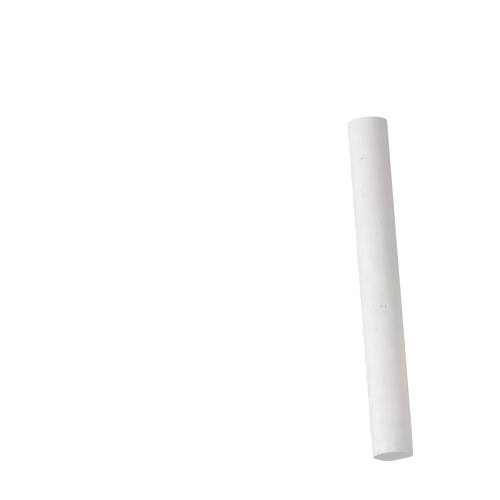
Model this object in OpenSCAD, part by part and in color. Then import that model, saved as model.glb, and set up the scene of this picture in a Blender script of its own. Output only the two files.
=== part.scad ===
// A stick of white board chalk, cast in one piece from plaster slurry.
// It stands on its base end, with its axis along +Z and its origin in the middle of that
// end. The rim of the base is slightly rounded. The rim of the other end, the top, is
// crisper, has been rubbed down to a sloping flat in two places, and has small chips.

/* [Stick] */
// Length from end face to end face, in mm
stick_length = 80; // [40:0.5:120]
// Diameter of the barrel
stick_diameter = 9.5; // [7:0.1:16]
// Radius of the rounded rim at the base end
base_rim_radius = 0.25; // [0.1:0.05:1.5]
// Radius of the crisper rim at the top end
top_rim_radius = 0.15; // [0.1:0.05:1]

/* [Rubbed flats] */
// Slope of both flats from the vertical, in degrees
rub_slope = 55; // [20:1:70]
// How far the larger flat cuts into the top rim, square to its slope
large_rub_depth = 0.75; // [0.1:0.05:1]
// Direction that the larger flat faces, in degrees from +X
large_rub_facing = 124; // [90:1:150]
// How far the smaller flat cuts in
small_rub_depth = 0.45; // [0.1:0.05:1]
// Direction that the smaller flat faces, in degrees from +X
small_rub_facing = 32; // [0:1:60]

/* [Rim chips] */
// Width of a chip broken out of the top rim
chip_width = 0.6; // [0.4:0.1:1.6]
// How deep a chip goes into the rim
chip_depth = 0.18; // [0.1:0.01:0.35]

/* [Bubble pits] */
// Width of the mouth of a large pit
large_pit_width = 0.5; // [0.4:0.05:1.4]
// Depth of a large pit
large_pit_depth = 0.2; // [0.1:0.01:0.35]
// Width of the mouth of a small pit
small_pit_width = 0.3; // [0.2:0.05:0.9]
// Depth of a small pit
small_pit_depth = 0.12; // [0.08:0.01:0.25]

/* [Smoothness] */
// Number of sides in a full circle
$fn = 96; // [48:12:180]

/* [Hidden] */

stick_radius = stick_diameter / 2;
rim_steps = 6; // straight steps in a quarter of a rounded rim

// Direction of each chip round the top rim, in degrees from +X
chip_directions = [74, 219, 255, 281, 317];

// Pits that trapped air left in the barrel:
// [direction in degrees from +X, height as a share of the length]
large_pits = [[295, 0.125], [270, 0.57], [264, 0.35], [120, 0.36], [30, 0.75]];
small_pits = [
    [278, 0.14], [295, 0.205], [304, 0.22], [223, 0.19], [231, 0.4], [230, 0.44],
    [252, 0.48], [259, 0.57], [293, 0.565], [285, 0.575], [237, 0.64], [288, 0.635],
    [316, 0.735], [298, 0.745], [231, 0.84], [75, 0.24], [160, 0.62], [345, 0.44],
    [5, 0.9], [100, 0.82], [195, 0.3]
];

// Points of a quarter circle about a centre, from one direction to 90 degrees further on
function quarter(centre, radius, from) =
    [for (i = [0:rim_steps])
        centre + radius * [cos(from + 90 * i / rim_steps), sin(from + 90 * i / rim_steps)]];

// Radius of the ball that cuts a dish of a given mouth and depth
function dish_radius(width, depth) = (width * width / 4 + depth * depth) / (2 * depth);

// The cast body before it was knocked about: half of its lengthwise section, spun
module cast_body() {
    base_centre = [stick_radius - base_rim_radius, base_rim_radius];
    top_centre = [stick_radius - top_rim_radius, stick_length - top_rim_radius];
    rotate_extrude()
        polygon(concat(
            [[0, 0]],
            quarter(base_centre, base_rim_radius, -90),
            quarter(top_centre, top_rim_radius, 0),
            [[0, stick_length]]
        ));
}

// A ball that leaves a round dish in the wall of the barrel
module pit(direction, height, width, depth) {
    ball = dish_radius(width, depth);
    rotate([0, 0, direction])
        translate([stick_radius + ball - depth, 0, height])
            sphere(r = ball);
}

// A ball that bites a scallop out of the top rim, square to the rim's slope
module rim_chip(direction) {
    ball = dish_radius(chip_width, chip_depth);
    reach = (ball - chip_depth) / sqrt(2);
    rotate([0, 0, direction])
        translate([stick_radius + reach, 0, stick_length + reach])
            sphere(r = ball);
}

// A block that rubs a sloping flat on one side of the top rim
module rub(facing, depth) {
    block = stick_diameter;
    rotate([0, 0, facing])
        translate([stick_radius, 0, stick_length])
            rotate([0, -rub_slope, 0])
                translate([-depth, -block / 2, -block])
                    cube([block, block, 2 * block]);
}

module chalk_stick() {
    color("whitesmoke")
        difference() {
            cast_body();
            rub(large_rub_facing, large_rub_depth);
            rub(small_rub_facing, small_rub_depth);
            for (direction = chip_directions) rim_chip(direction);
            for (p = large_pits)
                pit(p[0], p[1] * stick_length, large_pit_width, large_pit_depth);
            for (p = small_pits)
                pit(p[0], p[1] * stick_length, small_pit_width, small_pit_depth);
        }
}

chalk_stick();
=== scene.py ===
import math
import random

import bmesh
import bpy
from mathutils import Matrix, Vector


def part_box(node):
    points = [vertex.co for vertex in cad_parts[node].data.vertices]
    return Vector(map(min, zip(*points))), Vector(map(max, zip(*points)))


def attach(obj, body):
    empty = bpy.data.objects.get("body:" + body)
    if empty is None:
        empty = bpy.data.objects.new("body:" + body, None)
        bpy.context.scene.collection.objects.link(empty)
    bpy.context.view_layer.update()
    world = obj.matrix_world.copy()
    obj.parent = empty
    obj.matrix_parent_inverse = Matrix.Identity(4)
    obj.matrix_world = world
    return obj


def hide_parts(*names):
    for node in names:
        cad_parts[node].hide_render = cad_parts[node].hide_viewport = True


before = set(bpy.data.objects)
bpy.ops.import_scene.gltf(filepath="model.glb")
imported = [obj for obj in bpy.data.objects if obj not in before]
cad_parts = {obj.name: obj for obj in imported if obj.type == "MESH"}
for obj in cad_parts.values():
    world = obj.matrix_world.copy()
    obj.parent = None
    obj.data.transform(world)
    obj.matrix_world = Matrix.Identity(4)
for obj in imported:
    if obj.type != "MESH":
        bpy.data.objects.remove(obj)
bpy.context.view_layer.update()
MM = 0.001


# ---------------------------------------------------------------- the cast stick
# The real piece is a plain stick of white chalk. Plaster slurry is poured into a gang
# mould, sets, and is pushed out lengthwise, which leaves a smooth skin with faint
# lines along it. It is turned out as one piece, so everything below is one mesh.

stick_low, stick_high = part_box("chalk_stick")
stick_length = stick_high.z - stick_low.z
stick_radius = (stick_high.x - stick_low.x) / 2

base_rim_radius = 0.20 * MM
top_rim_radius = 0.15 * MM
stick_sides = 180          # about 0.17 mm of skin to a face
cap_span = 45              # each end is filled with a grid of about the same size
lengthwise_cuts = 19       # made twice, so 400 rings
shortest_long_edge = 1.5 * MM
same_height = 0.01 * MM    # closer than this, two points are at the same height
draft = 0.983              # the mould narrows a little towards the base end
top_draw_in = 0.983        # the top end is drawn in a little where it has been handled
top_draw_in_reach = 7 * MM


def pick(piece):
    """Makes a piece the only one that is selected, and the active one."""
    bpy.ops.object.select_all(action="DESELECT")
    piece.select_set(True)
    bpy.context.view_layer.objects.active = piece


def select_where(piece, kind, test):
    """In edit mode, selects only the vertices, edges or faces that pass the test."""
    bpy.ops.mesh.select_mode(type=kind)
    bpy.ops.mesh.select_all(action="DESELECT")
    shape = bmesh.from_edit_mesh(piece.data)
    for item in {"VERT": shape.verts, "EDGE": shape.edges, "FACE": shape.faces}[kind]:
        if test(item):
            item.select_set(True)
    bmesh.update_edit_mesh(piece.data)


def edge_at_height(z):
    return lambda edge: all(abs(v.co.z - z) < same_height for v in edge.verts)


def runs_lengthwise(edge):
    a, b = (v.co for v in edge.verts)
    return abs(a.z - b.z) > shortest_long_edge


bpy.ops.object.select_all(action="DESELECT")
bpy.ops.mesh.primitive_cylinder_add(
    vertices=stick_sides, radius=stick_radius, depth=stick_length,
    end_fill_type="NGON", location=(0, 0, stick_low.z + stick_length / 2))
stick = bpy.context.object
stick.name = "cast_chalk_stick"
stick.data.name = "cast_chalk_stick"
bpy.ops.object.transform_apply(location=True)

bpy.ops.object.mode_set(mode="EDIT")
for rim_height, rim_radius in ((stick_low.z, base_rim_radius), (stick_high.z, top_rim_radius)):
    select_where(stick, "EDGE", edge_at_height(rim_height))
    bpy.ops.mesh.bevel(offset=rim_radius, segments=3, profile=0.5)
for cap_height in (stick_low.z, stick_high.z):
    select_where(stick, "FACE", lambda face: len(face.verts) == stick_sides
                 and abs(face.calc_center_median().z - cap_height) < same_height)
    bpy.ops.mesh.delete(type="ONLY_FACE")
    select_where(stick, "EDGE", lambda edge: edge.is_boundary
                 and edge_at_height(cap_height)(edge))
    bpy.ops.mesh.fill_grid(span=cap_span)
for _ in range(2):
    select_where(stick, "EDGE", runs_lengthwise)
    bpy.ops.mesh.subdivide(number_cuts=lengthwise_cuts)

end_band = 1.2 * base_rim_radius
for end_height, narrowing, reach, falloff in (
        (stick_low.z, draft, stick_length, "LINEAR"),
        (stick_high.z, top_draw_in, top_draw_in_reach, "SMOOTH")):
    select_where(stick, "VERT", lambda v: abs(v.co.z - end_height) < end_band)
    bpy.ops.transform.resize(
        value=(narrowing, narrowing, 1), center_override=(0, 0, end_height),
        use_proportional_edit=True, proportional_edit_falloff=falloff,
        proportional_size=reach)

# The base rim is worn rounder on one side than on the other.
worn_side = 0.88 * stick_radius
worn_reach = 1.0 * MM
select_where(stick, "VERT", lambda v: v.co.x > worn_side
             and v.co.z < stick_low.z + worn_reach
             and v.co.xy.length > stick_radius - worn_reach)
bpy.ops.mesh.vertices_smooth(factor=0.5, repeat=5)

bpy.ops.mesh.select_all(action="SELECT")
bpy.ops.mesh.normals_make_consistent(inside=False)

# The skin isn't quite true: it waves a little, and the rims have crumbled unevenly.
crumbled_inwards = 0.8 * MM
crumbled_at_top = 0.3 * MM
crumbled_at_base = 0.4 * MM
rims = stick.vertex_groups.new(name="rims")
stick.vertex_groups.active_index = rims.index
select_where(stick, "VERT", lambda v: v.co.xy.length > stick_radius - crumbled_inwards and (
    v.co.z > stick_high.z - crumbled_at_top or v.co.z < stick_low.z + crumbled_at_base))
bpy.ops.object.vertex_group_assign()
bpy.ops.mesh.select_all(action="SELECT")
bpy.ops.object.vertex_group_smooth(group_select_mode="ACTIVE", factor=0.5, repeat=3)
bpy.ops.object.mode_set(mode="OBJECT")
pick(stick)


def sink(piece, name, grain, depth, octaves, group=""):
    """Sinks the skin by a cloudy pattern of a given grain, by at most the given depth."""
    pattern = bpy.data.textures.new(name, "CLOUDS")
    pattern.noise_scale = grain
    pattern.noise_depth = octaves
    modifier = piece.modifiers.new(name, "DISPLACE")
    modifier.texture = pattern
    modifier.texture_coords = "LOCAL"
    modifier.mid_level = 1.0
    modifier.strength = depth
    modifier.vertex_group = group
    bpy.ops.object.modifier_apply(modifier=modifier.name)


sink(stick, "waves", grain=7 * MM, depth=0.035 * MM, octaves=1)
sink(stick, "orange_peel", grain=1.1 * MM, depth=0.02 * MM, octaves=2)
sink(stick, "crumbled_rims", grain=0.6 * MM, depth=0.09 * MM, octaves=3, group="rims")


# Every cut below leaves its mark on its own faces: up to 1 where its hollow is darkened,
# partly as grime and partly as painted shade, and down to -1 where it is drawn lighter,
# as fresh white plaster on the rubbed flats and as painted highlight in the scratches,
# scuffs and small dents. The material reads that.

def mark(piece, wear_and_painted_light):
    """Gives every face of a piece the same mark of wear and painted light."""
    marks = piece.data.attributes.new("wear_and_painted_light", "FLOAT", "FACE")
    marks.data.foreach_set("value", [wear_and_painted_light] * len(marks.data))


def carve(piece, cutters, wear_and_painted_light):
    """Cuts closed shapes out of a piece and throws them away."""
    bpy.ops.object.select_all(action="DESELECT")
    for cutter in cutters:
        cutter.select_set(True)
    bpy.context.view_layer.objects.active = cutters[0]
    if len(cutters) > 1:
        bpy.ops.object.join()
    cutter = bpy.context.object
    mark(cutter, wear_and_painted_light)
    pick(piece)
    cut = piece.modifiers.new("carve", "BOOLEAN")
    cut.operation = "DIFFERENCE"
    cut.solver = "MANIFOLD"
    cut.object = cutter
    bpy.ops.object.modifier_apply(modifier=cut.name)
    bpy.data.objects.remove(cutter)


mark(stick, 0.0)

# Two stretches of the top rim are rubbed to sloping, slightly uneven flats.
# [direction that the flat faces in degrees from +X, depth in mm]
rubs = [(124, 0.76), (32, 0.48)]
rub_slope = math.radians(55)
rub_block = 8 * MM
rub_cuts = 40              # faces of 0.2 mm, fine enough to be uneven

for rub_facing, rub_depth in rubs:
    facing = math.radians(rub_facing)
    turn = Matrix.Rotation(facing, 3, "Z") @ Matrix.Rotation(-rub_slope, 3, "Y")
    corner = Vector((stick_radius * math.cos(facing), stick_radius * math.sin(facing),
                     stick_high.z))
    bpy.ops.object.select_all(action="DESELECT")
    bpy.ops.mesh.primitive_cube_add(
        size=rub_block, rotation=turn.to_euler(),
        location=corner + turn @ Vector((rub_block / 2 - rub_depth * MM, 0, 0)))
    rubbed = bpy.context.object
    bpy.ops.object.transform_apply(location=True, rotation=True)
    bpy.ops.object.mode_set(mode="EDIT")
    bpy.ops.mesh.subdivide(number_cuts=rub_cuts)
    bpy.ops.object.mode_set(mode="OBJECT")
    sink(rubbed, "rub_marks", grain=0.8 * MM, depth=0.06 * MM, octaves=2)
    carve(stick, [rubbed], wear_and_painted_light=-0.4)

# Air that was trapped against the mould left small pits, and knocks have flaked the top rim.
# These are darkened, partly as grime and partly as painted shade; small dents beside the
# deepest pit are painted white as highlights.
# [direction in degrees from +X, height in mm, mouth width in mm, depth in mm]
deep_pits = [
    (295, 9.9, 0.40, 0.17), (270, 45.5, 0.40, 0.15), (265, 28.2, 0.28, 0.12),
    (293, 45.3, 0.28, 0.10), (120, 28.8, 0.50, 0.22), (30, 60.0, 0.50, 0.22),
    (160, 49.6, 0.36, 0.18), (100, 65.6, 0.36, 0.18),
]
shallow_pits = [
    (295, 0.7, 0.26, 0.08), (255, 0.7, 0.24, 0.08), (278, 0.8, 0.18, 0.06),
    (289, 9.6, 0.22, 0.08), (278, 11.3, 0.26, 0.11), (295, 16.4, 0.30, 0.14),
    (306, 17.4, 0.22, 0.09), (223, 15.3, 0.24, 0.09), (270, 5.4, 0.18, 0.06),
    (278, 20.4, 0.18, 0.06), (233, 31.9, 0.24, 0.10), (230, 35.4, 0.22, 0.08),
    (252, 38.4, 0.20, 0.08), (297, 42.4, 0.20, 0.07), (285, 46.1, 0.30, 0.14),
    (257, 46.6, 0.22, 0.08), (295, 47.2, 0.20, 0.07), (222, 47.6, 0.24, 0.09),
    (237, 51.2, 0.26, 0.11), (316, 58.9, 0.24, 0.09), (298, 59.7, 0.22, 0.08),
    (231, 67.1, 0.24, 0.08), (277, 68.2, 0.20, 0.07), (235, 76.5, 0.20, 0.06),
    (268, 77.7, 0.30, 0.08), (75, 19.2, 0.30, 0.12), (345, 35.2, 0.30, 0.12),
    (5, 72.0, 0.28, 0.10), (195, 24.0, 0.30, 0.12), (140, 8.0, 0.26, 0.10),
    (62, 44.0, 0.26, 0.10),
]
# Dents beside the deepest pit, painted white: painted highlights
painted_highlight_dents = [
    (276, 45.3, 0.24, 0.04), (265, 46.1, 0.26, 0.04), (262, 45.7, 0.24, 0.04),
    (278, 46.2, 0.20, 0.03),
]
rim_flakes = [
    (255, 79.2, 0.34, 0.07), (254, 79.7, 0.24, 0.08), (282, 79.4, 0.34, 0.12),
    (317, 79.4, 0.42, 0.10), (74, 79.8, 0.50, 0.20), (158, 79.8, 0.36, 0.12),
]
rim_scuffs = [(234, 79.1, 0.70, 0.05), (219, 79.0, 0.75, 0.05)]
# The finest pits lie at random on the side that has few of the pits above.
fine_pits = 30
fine_pit_directions = (-30, 205)
fine_pit_heights = (2, 78)
finest_pit = 0.10          # mouth width in mm
fine_pit_spread = 0.12     # the widest is this much wider
fine_pit_depth = 0.3       # as a share of its width
wide_pit = 0.45            # from here on, the ball that cuts it has finer faces

chance = random.Random(11)


def on_circle(direction, height, reach):
    """A point at a height in mm, in a direction in degrees, that far from the axis."""
    turn = math.radians(direction)
    return Vector((reach * math.cos(turn), reach * math.sin(turn), stick_low.z + height * MM))


def skin_at(direction, height):
    """The point of the skin at a height in mm, in a direction in degrees."""
    outside = on_circle(direction, height, 2 * stick_radius)
    inward = on_circle(direction, height, 0) - outside
    return stick.ray_cast(outside, inward)[1]


def dish_radius(width, depth):
    """The radius, in metres, of the round tool that cuts a dish of a mouth and depth in mm."""
    return (width * width / 4 + depth * depth) / (2 * depth) * MM


def lumpy_ball(direction, height, width, depth, lumps):
    """An uneven ball, a little drawn out, that cuts a pit of a given mouth and depth."""
    radius = dish_radius(width, depth)
    outward = on_circle(direction, 0, 1) - on_circle(direction, 0, 0)
    bpy.ops.object.select_all(action="DESELECT")
    bpy.ops.mesh.primitive_ico_sphere_add(
        subdivisions=4 if width > wide_pit else 3, radius=radius)
    ball = bpy.context.object
    bpy.ops.object.mode_set(mode="EDIT")
    bpy.ops.transform.vertex_random(offset=lumps * radius, seed=chance.randrange(1000))
    bpy.ops.transform.resize(value=(1, chance.uniform(0.75, 1.1), chance.uniform(0.9, 1.35)))
    bpy.ops.object.mode_set(mode="OBJECT")
    ball.rotation_euler = (chance.uniform(0, math.pi), 0, math.radians(direction))
    ball.location = skin_at(direction, height) + outward * (radius - depth * MM)
    bpy.ops.object.transform_apply(location=True, rotation=True)
    return ball


for _ in range(fine_pits):
    width = finest_pit + fine_pit_spread * chance.random() ** 2
    shallow_pits.append((chance.uniform(*fine_pit_directions), chance.uniform(*fine_pit_heights),
                         width, fine_pit_depth * width))
# Pits, flakes and rim scuffs are darkened, partly grime and partly painted shade; the dents are
# painted white as highlights.
for places, lumps, wear_and_painted_light in (
        (shallow_pits, 0.06, 0.3), (deep_pits, 0.10, 1.0), (painted_highlight_dents, 0.06, -1.0),
        (rim_flakes, 0.12, 0.8), (rim_scuffs, 0.06, 0.1)):
    carve(stick, [lumpy_ball(*place, lumps) for place in places], wear_and_painted_light)

# Nicks, mostly along the stick, darkened partly as grime and partly as painted shade, a few
# scratches that slant across it, and a patch of fine slanting scuffs, these two painted
# lighter as highlights.
# [(direction, height) of the start, the bend and the end, width in mm, depth in mm]
nicks = [
    ((297, 10.1), (291, 9.9), (287, 9.6), 0.12, 0.04),
    ((252, 25.2), (252, 25.8), (251, 26.5), 0.13, 0.03),
    ((227, 33.4), (228, 34.2), (228, 35.6), 0.12, 0.02),
    ((244, 43.0), (246, 43.9), (246, 44.9), 0.10, 0.015),
    ((276, 45.8), (271, 45.2), (265, 45.3), 0.24, 0.13),
    ((259, 45.1), (259, 45.6), (259, 46.0), 0.24, 0.15),
    ((290, 50.1), (289, 50.8), (286, 51.9), 0.14, 0.03),
    ((98, 54.0), (99, 55.0), (98, 56.5), 0.14, 0.05),
]
scratches = [
    ((256, 45.8), (243, 47.1), (234, 48.6), 0.20, 0.04),
    ((262, 44.5), (246, 45.8), (231, 48.2), 0.16, 0.03),
    ((248, 52.8), (241, 53.9), (232, 53.8), 0.22, 0.05),
    ((20, 12.0), (38, 14.0), (60, 15.0), 0.15, 0.05),
    ((140, 41.0), (152, 44.0), (158, 48.0), 0.15, 0.05),
    ((335, 66.0), (350, 67.5), (368, 70.0), 0.14, 0.04),
]
scuffs = [
    ((262 - 4 * k, 55.2 + 0.9 * k), (255 - 4 * k, 56.1 + 0.9 * k), (248 - 4 * k, 57.2 + 0.9 * k),
     0.14, 0.02)
    for k in range(7)
]
scratch_steps = 14
scratch_tip = 0.3          # width of its ends, as a share of its middle
welding_reach = 0.001 * MM


def scratch_tool(start, bend, end, width, depth):
    """A thin round bar, pointed at its ends, that follows the skin and cuts a scratch."""
    line = bpy.data.curves.new("scratch", "CURVE")
    line.dimensions = "3D"
    line.bevel_depth = dish_radius(width, depth)
    line.bevel_resolution = 3
    line.use_fill_caps = True
    spline = line.splines.new("POLY")
    spline.points.add(scratch_steps)
    for i, point in enumerate(spline.points):
        t = i / scratch_steps
        direction, height = ((1 - t) ** 2 * s + 2 * t * (1 - t) * b + t * t * e
                             for s, b, e in zip(start, bend, end))
        outward = on_circle(direction, 0, 1) - on_circle(direction, 0, 0)
        place = skin_at(direction, height) + outward * (line.bevel_depth - depth * MM)
        point.co = (*place, 1)
        point.radius = scratch_tip + (1 - scratch_tip) * math.sin(math.pi * t) ** 0.5
    tool = bpy.data.objects.new("scratch", line)
    bpy.context.scene.collection.objects.link(tool)
    pick(tool)
    bpy.ops.object.convert(target="MESH")
    bpy.ops.object.mode_set(mode="EDIT")
    bpy.ops.mesh.select_all(action="SELECT")
    bpy.ops.mesh.remove_doubles(threshold=welding_reach)  # joins the caps to the bar
    bpy.ops.object.mode_set(mode="OBJECT")
    return bpy.context.object


# Nicks darkened, partly grime and partly painted shade; scratches and scuffs painted lighter as
# highlights
for strokes, wear_and_painted_light in ((nicks, 0.9), (scratches, -0.8), (scuffs, -0.4)):
    carve(stick, [scratch_tool(*stroke) for stroke in strokes], wear_and_painted_light)

# The middle of the top end has sunk into a shallow dimple, where the slurry shrank.
dimple_width = 1.8
dimple_depth = 0.06
dimple_radius = dish_radius(dimple_width, dimple_depth)
bpy.ops.object.select_all(action="DESELECT")
bpy.ops.mesh.primitive_ico_sphere_add(
    subdivisions=6, radius=dimple_radius,
    location=(0, 0, stick_high.z + dimple_radius - dimple_depth * MM))
bpy.ops.object.transform_apply(location=True)
# The dimple is darkened a little, partly grime and partly painted shade
carve(stick, [bpy.context.object], wear_and_painted_light=0.12)

pick(stick)
bpy.ops.object.shade_smooth_by_angle(angle=math.radians(35))


# Plaster chalk, cast and left bare: a dry, dusty, slightly pink white that scatters
# light evenly and has no shine. Fine pores and a grain of set crystals break the skin;
# the pores are drawn darker as painted shade, the pits and nicks are darkened partly by
# grime and partly by painted shade, and the scratches are painted lighter as highlights.

def linear(hex_colour):
    """The linear colour of an sRGB hex value."""
    channels = [int(hex_colour[i:i + 2], 16) / 255 for i in (1, 3, 5)]
    return [c / 12.92 if c <= 0.04045 else ((c + 0.055) / 1.055) ** 2.4 for c in channels] + [1]


def add(tree, kind, settings, inputs):
    """Adds a node with its settings, and with each input set to a value or linked."""
    node = tree.nodes.new(kind)
    for name, value in settings.items():
        setattr(node, name, value)
    for name, value in inputs.items():
        if isinstance(value, bpy.types.NodeSocket):
            tree.links.new(value, node.inputs[name])
        else:
            node.inputs[name].default_value = value
    return node


chalk = bpy.data.materials.new("cast_plaster_chalk")
chalk.use_nodes = True
tree = chalk.node_tree
shader = tree.nodes["Principled BSDF"]
place = add(tree, "ShaderNodeTexCoord", {}, {}).outputs["Object"]
in_mm = add(tree, "ShaderNodeMapping", {}, {
    "Vector": place, "Scale": (1000, 1000, 1000)}).outputs[0]

# Cloudy patches a few millimetres wide, where the slurry set drier or wetter
patches = add(tree, "ShaderNodeTexNoise", {}, {
    "Vector": in_mm, "Scale": 0.3, "Detail": 3, "Roughness": 0.55}).outputs["Fac"]
patchy = add(tree, "ShaderNodeMapRange", {}, {
    "Value": patches, "From Min": 0.35, "From Max": 0.7}).outputs[0]
# Lines along the stick from pushing it out of the mould, about 0.7 mm apart
along = add(tree, "ShaderNodeMapping", {}, {
    "Vector": place, "Scale": (1400, 1400, 45)}).outputs[0]
lines = add(tree, "ShaderNodeTexNoise", {}, {
    "Vector": along, "Scale": 1.0, "Detail": 2, "Roughness": 0.5}).outputs["Fac"]
# Crystals of set plaster: real grains are under 0.05 mm, drawn at 0.3 mm so that they show
crystals = add(tree, "ShaderNodeTexNoise", {}, {
    "Vector": in_mm, "Scale": 3.5, "Detail": 4, "Roughness": 0.65}).outputs["Fac"]
grains = add(tree, "ShaderNodeMapRange", {}, {
    "Value": crystals, "From Min": 0.42, "From Max": 0.62}).outputs[0]
# Open pores about 0.2 mm wide, in cells of 1.7 mm, drawn darker as painted shade
pore_cells = add(tree, "ShaderNodeTexVoronoi", {}, {
    "Vector": in_mm, "Scale": 0.6, "Randomness": 1.0}).outputs["Distance"]
pores = add(tree, "ShaderNodeMapRange", {"interpolation_type": "SMOOTHSTEP"}, {
    "Value": pore_cells, "From Min": 0.03, "From Max": 0.10,
    "To Min": 1.0, "To Max": 0.0}).outputs[0]
# Rare brown specks of rust or clay from the plaster sack, in cells of 3 mm
speck_cells = add(tree, "ShaderNodeTexVoronoi", {}, {
    "Vector": in_mm, "Scale": 0.33, "Randomness": 1.0}).outputs["Distance"]
specks = add(tree, "ShaderNodeMapRange", {"interpolation_type": "SMOOTHSTEP"}, {
    "Value": speck_cells, "From Min": 0.02, "From Max": 0.06,
    "To Min": 1.0, "To Max": 0.0}).outputs[0]
# A paler line round the top rim, found from how far a point lies below the side
# and below the top
apart = add(tree, "ShaderNodeSeparateXYZ", {}, {"Vector": in_mm}).outputs
flat = add(tree, "ShaderNodeCombineXYZ", {}, {"X": apart["X"], "Y": apart["Y"]}).outputs[0]
off_axis = add(tree, "ShaderNodeVectorMath", {"operation": "LENGTH"}, {0: flat}).outputs["Value"]
under_side = add(tree, "ShaderNodeMath", {"operation": "SUBTRACT"}, {
    0: stick_radius / MM, 1: off_axis}).outputs[0]
under_top = add(tree, "ShaderNodeMath", {"operation": "SUBTRACT"}, {
    0: stick_high.z / MM, 1: apart["Z"]}).outputs[0]
off_rim = add(tree, "ShaderNodeMath", {"operation": "MAXIMUM"}, {
    0: under_side, 1: under_top}).outputs[0]
pale_rim_band = add(tree, "ShaderNodeMapRange", {"interpolation_type": "SMOOTHSTEP"}, {
    "Value": off_rim, "From Min": 0.18, "From Max": 0.45, "To Min": 1.0, "To Max": 0.0}).outputs[0]
# Finger grime in streaks about 4 mm long, thicker over the last 14 mm of the top end
streaks = add(tree, "ShaderNodeMapping", {}, {
    "Vector": place, "Scale": (1900, 1900, 260)}).outputs[0]
streaky = add(tree, "ShaderNodeTexNoise", {}, {
    "Vector": streaks, "Scale": 1.0, "Detail": 3, "Roughness": 0.6}).outputs["Fac"]
smeared = add(tree, "ShaderNodeMapRange", {}, {
    "Value": streaky, "From Min": 0.48, "From Max": 0.7}).outputs[0]
near_top = add(tree, "ShaderNodeMapRange", {}, {
    "Value": under_top, "From Min": 0.0, "From Max": 14.0, "To Min": 1.0, "To Max": 0.1}).outputs[0]
handled = add(tree, "ShaderNodeMath", {"operation": "MULTIPLY"}, {
    0: smeared, 1: near_top}).outputs[0]
# Darker in the pits, flakes and nicks, partly grime and partly painted shade; lighter on
# the rubbed flats as fresh plaster, and in the scratches, scuffs and dents as painted highlight
wear_and_painted_light = add(tree, "ShaderNodeAttribute", {"attribute_name": "wear_and_painted_light"}, {}).outputs["Fac"]
grime_and_painted_shade = add(tree, "ShaderNodeMapRange", {}, {
    "Value": wear_and_painted_light, "From Min": 0.0, "From Max": 1.0}).outputs[0]
fresh_plaster_and_painted_highlight = add(tree, "ShaderNodeMapRange", {}, {
    "Value": wear_and_painted_light, "From Min": 0.0, "From Max": -1.0}).outputs[0]

# Each layer covers the skin's own colour with its shade, to the strength given
colour = linear("#F9F6F7")
# The pores' layer is painted shade, the grime layer partly grime and partly painted shade, and the
# fresh layer partly fresh plaster and partly painted highlight
for cover, shade, strength in (
        (patchy, "#F1ECEA", 0.6), (lines, "#EDEAEE", 0.5), (grains, "#EFEBEB", 0.4),
        (pores, "#C9C2BD", 0.3), (specks, "#A08C7A", 0.25), (handled, "#D6CFCB", 0.25),
        (pale_rim_band, "#FDFBFB", 0.5), (grime_and_painted_shade, "#B4ACA8", 0.45), (fresh_plaster_and_painted_highlight, "#FFFEFE", 1.0)):
    amount = add(tree, "ShaderNodeMath", {"operation": "MULTIPLY"}, {
        0: cover, 1: strength}).outputs[0]
    colour = add(tree, "ShaderNodeMix", {"data_type": "RGBA"}, {
        0: amount, 6: colour, 7: linear(shade)}).outputs[2]
tree.links.new(colour, shader.inputs["Base Color"])

# The lines, grains and pores also roughen the skin, each to a depth in mm
surface = None
for height, depth, way_in in (
        (lines, 0.018, False), (crystals, 0.09, False), (pores, 0.05, True)):
    joined = {"Height": height, "Distance": depth * MM, "Strength": 1.0}
    if surface:
        joined["Normal"] = surface
    surface = add(tree, "ShaderNodeBump", {"invert": way_in}, joined).outputs[0]
tree.links.new(surface, shader.inputs["Normal"])
shader.inputs["Roughness"].default_value = 0.95
shader.inputs["IOR"].default_value = 1.52
shader.inputs["Specular IOR Level"].default_value = 0.3

stick.data.materials.clear()
stick.data.materials.append(chalk)
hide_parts("chalk_stick")
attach(stick, "root")


# ------------------------------------------------------------------- the studio
# A white sheet of card under the stick, a broad soft lamp low on one side, a weaker one
# in front, two small ones that fill the shaded side, and a paler room all round.

card_reach = 3.0
card_lift = 0.65           # added to the card where it is seen plainly, so that it is white


def seen_plainly(tree):
    """1 for what the camera sees directly, in a reflection or through glass, else 0."""
    path = add(tree, "ShaderNodeLightPath", {}, {}).outputs
    mirrored = add(tree, "ShaderNodeMath", {"operation": "MAXIMUM"}, {
        0: path["Is Glossy Ray"], 1: path["Is Transmission Ray"]}).outputs[0]
    return add(tree, "ShaderNodeMath", {"operation": "MAXIMUM"}, {
        0: path["Is Camera Ray"], 1: mirrored}).outputs[0]


bpy.ops.object.select_all(action="DESELECT")
bpy.ops.mesh.primitive_plane_add(size=2 * card_reach, location=(0, 0, stick_low.z))
card = bpy.context.object
card.name = "white_card_floor"
bpy.ops.object.transform_apply(location=True)
white_card = bpy.data.materials.new("white_card")
white_card.use_nodes = True
tree = white_card.node_tree
tree.nodes.clear()
paper = add(tree, "ShaderNodeBsdfDiffuse", {}, {"Color": linear("#E8E3E3")})
lift = add(tree, "ShaderNodeMath", {"operation": "MULTIPLY"}, {
    0: seen_plainly(tree), 1: card_lift}).outputs[0]
glow = add(tree, "ShaderNodeEmission", {}, {"Strength": lift})
both = add(tree, "ShaderNodeAddShader", {}, {0: paper.outputs[0], 1: glow.outputs[0]})
add(tree, "ShaderNodeOutputMaterial", {}, {"Surface": both.outputs[0]})
card.data.materials.append(white_card)

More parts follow.
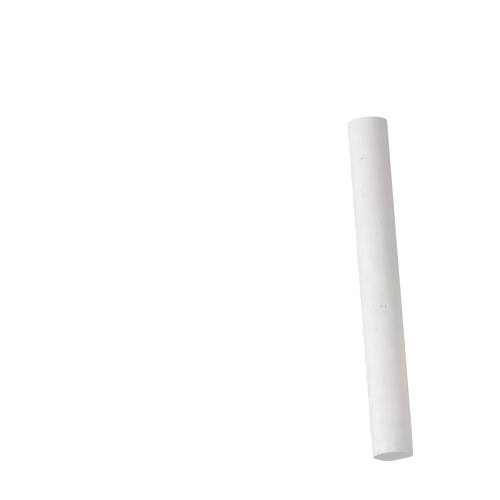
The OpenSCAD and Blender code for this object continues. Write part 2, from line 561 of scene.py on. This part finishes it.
# The room is brighter overhead than at eye level; seen directly it is white.
world = bpy.data.worlds.new("white_room")
world.use_nodes = True
bpy.context.scene.world = world
tree = world.node_tree
room = tree.nodes["Background"]
way = add(tree, "ShaderNodeTexCoord", {}, {}).outputs["Generated"]
up = add(tree, "ShaderNodeSeparateXYZ", {}, {"Vector": way}).outputs["Z"]
dimmed = add(tree, "ShaderNodeMapRange", {}, {
    "Value": up, "From Min": 0.1, "From Max": 0.9, "To Min": 0.12, "To Max": 0.73}).outputs[0]
strength = add(tree, "ShaderNodeMix", {"data_type": "FLOAT"}, {
    0: seen_plainly(tree), 2: dimmed, 3: 1.0}).outputs[0]
tree.links.new(strength, room.inputs["Strength"])
room.inputs["Color"].default_value = linear("#FFFFFF")


def lamp(name, direction, height, distance, width, tall, power, colour):
    """A soft lamp that faces the stick, in a direction given in degrees from +X."""
    data = bpy.data.lights.new(name, "AREA")
    data.shape = "RECTANGLE"
    data.size = width
    data.size_y = tall
    data.energy = power
    data.color = linear(colour)[:3]
    holder = bpy.data.objects.new(name, data)
    bpy.context.scene.collection.objects.link(holder)
    turn = math.radians(direction)
    holder.location = (distance * math.cos(turn), distance * math.sin(turn), height)
    facing = Vector((0, 0, height)) - holder.location
    holder.rotation_euler = facing.to_track_quat("-Z", "Y").to_euler()
    holder.visible_camera = False


lamp("key", direction=326, height=0.031, distance=0.45, width=0.19, tall=0.06,
     power=0.993, colour="#FDFFFB")
lamp("front", direction=271, height=0.05, distance=0.45, width=0.15, tall=0.10,
     power=0.257, colour="#E3EAFF")
lamp("side", direction=200, height=0.064, distance=0.045, width=0.02, tall=0.02,
     power=0.003, colour="#FFFDE6")
lamp("low_side", direction=200, height=0.004, distance=0.06, width=0.006, tall=0.006,
     power=0.0014, colour="#FFFDD8")

# The camera looks slightly down on the stick from far off, and is rolled so that the top
# end comes at the foot of the picture.
camera_tilt = math.radians(14.3)
camera_roll = math.radians(180 - 4.19)
camera_lens = 540          # in mm
camera_distance = 1.730
stick_right_of_centre = 29.98 * MM
stick_below_centre = 8.96 * MM

middle = Vector((0, 0, stick_length / 2))
towards_camera = Vector((0, -math.cos(camera_tilt), math.sin(camera_tilt)))
eye = middle + camera_distance * towards_camera
across = Vector((1, 0, 0))
upward = towards_camera.cross(across)
roll = Matrix.Rotation(camera_roll, 3, towards_camera)
aim = middle - roll @ (across * stick_right_of_centre - upward * stick_below_centre)
camera_data = bpy.data.cameras.new("camera")
camera_data.lens = camera_lens
camera_data.clip_end = 20  # past the far edge of the card
camera = bpy.data.objects.new("camera", camera_data)
bpy.context.scene.collection.objects.link(camera)
upright = (aim - eye).to_track_quat("-Z", "Y").to_matrix()
camera.matrix_world = (Matrix.Translation(eye)
                       @ (upright @ Matrix.Rotation(camera_roll, 3, "Z")).to_4x4())
bpy.context.scene.camera = camera
bpy.context.scene.view_settings.view_transform = "Standard"

bpy.context.view_layer.update()
